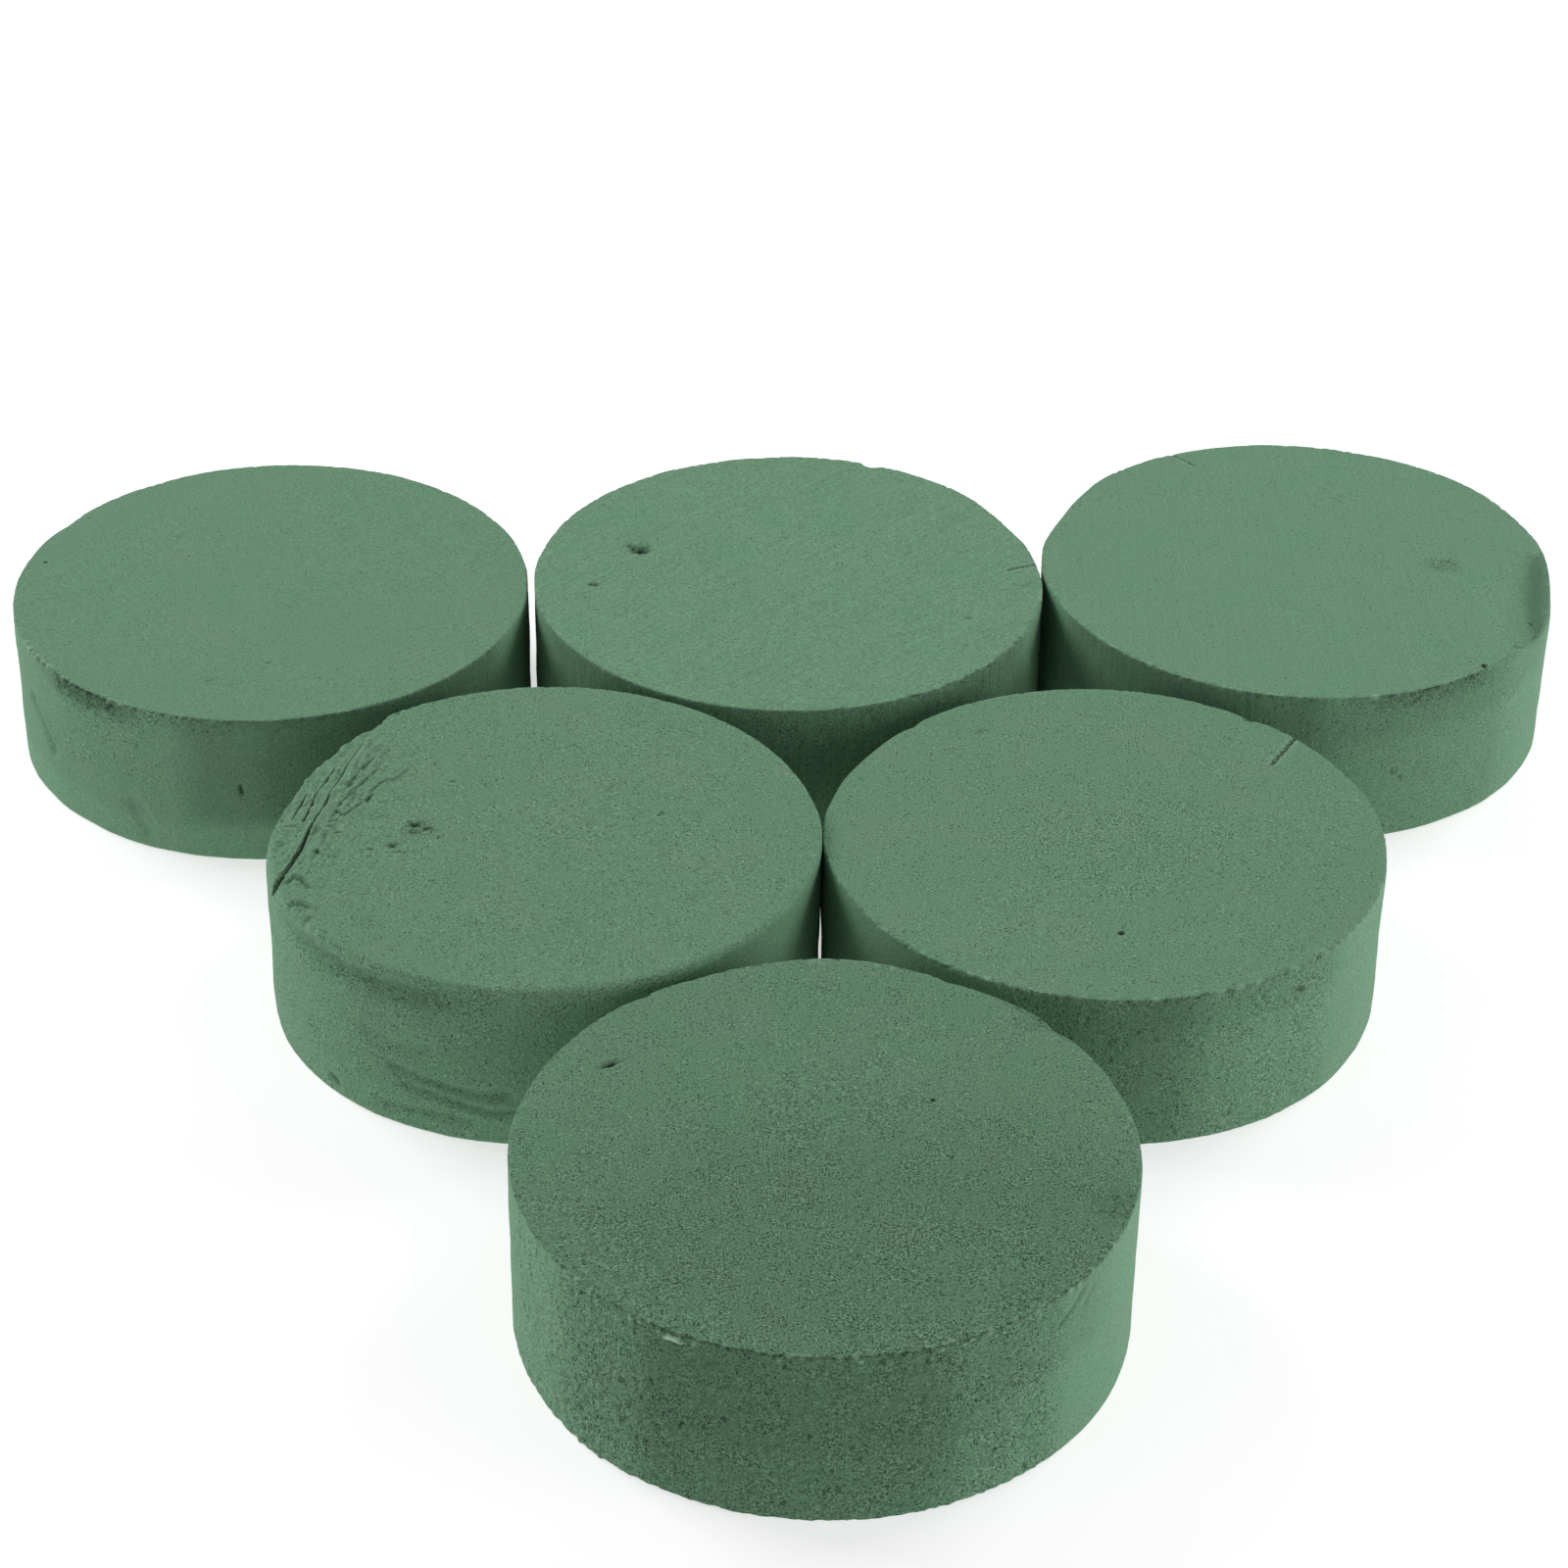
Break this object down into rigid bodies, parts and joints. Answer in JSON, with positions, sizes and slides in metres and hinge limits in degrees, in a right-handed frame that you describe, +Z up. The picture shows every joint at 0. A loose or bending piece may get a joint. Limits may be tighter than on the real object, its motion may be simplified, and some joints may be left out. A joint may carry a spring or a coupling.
{
  "type": "floral foam disc set",
  "caption": "Loose round floral foam discs laid out in a triangle, each a solid crushable block with cut faces, worn edges, knife slits and pin holes.",
  "frame": {"origin": "on the table, under the middle of the whole set's outline", "axes": "+X along the back row to the viewer's right, +Y from the front disc towards the back row, +Z up out of the discs' top faces"},
  "size_m": [0.3646, 0.3416, 0.0395],
  "materials": {
    "floral_foam": "dry matte open-cell phenolic foam with a fine porous grain"
  },
  "bodies": {
    "front_disc": {"front_disc": "floral_foam"},
    "middle_left_disc": {"middle_left_disc": "floral_foam"},
    "middle_right_disc": {"middle_right_disc": "floral_foam"},
    "back_left_disc": {"back_left_disc": "floral_foam"},
    "back_centre_disc": {"back_centre_disc": "floral_foam"},
    "back_right_disc": {"back_right_disc": "floral_foam"}
  },
  "joints": [
    {"name": "middle_left_lift", "type": "slide", "parent": "front_disc", "child": "middle_left_disc", "axis": [0, 0, 1], "range_m": [0, 0.06]},
    {"name": "middle_right_lift", "type": "slide", "parent": "front_disc", "child": "middle_right_disc", "axis": [0, 0, 1], "range_m": [0, 0.06]},
    {"name": "back_left_lift", "type": "slide", "parent": "front_disc", "child": "back_left_disc", "axis": [0, 0, 1], "range_m": [0, 0.06]},
    {"name": "back_centre_lift", "type": "slide", "parent": "front_disc", "child": "back_centre_disc", "axis": [0, 0, 1], "range_m": [0, 0.06]},
    {"name": "back_right_lift", "type": "slide", "parent": "front_disc", "child": "back_right_disc", "axis": [0, 0, 1], "range_m": [0, 0.06]}
  ]
}
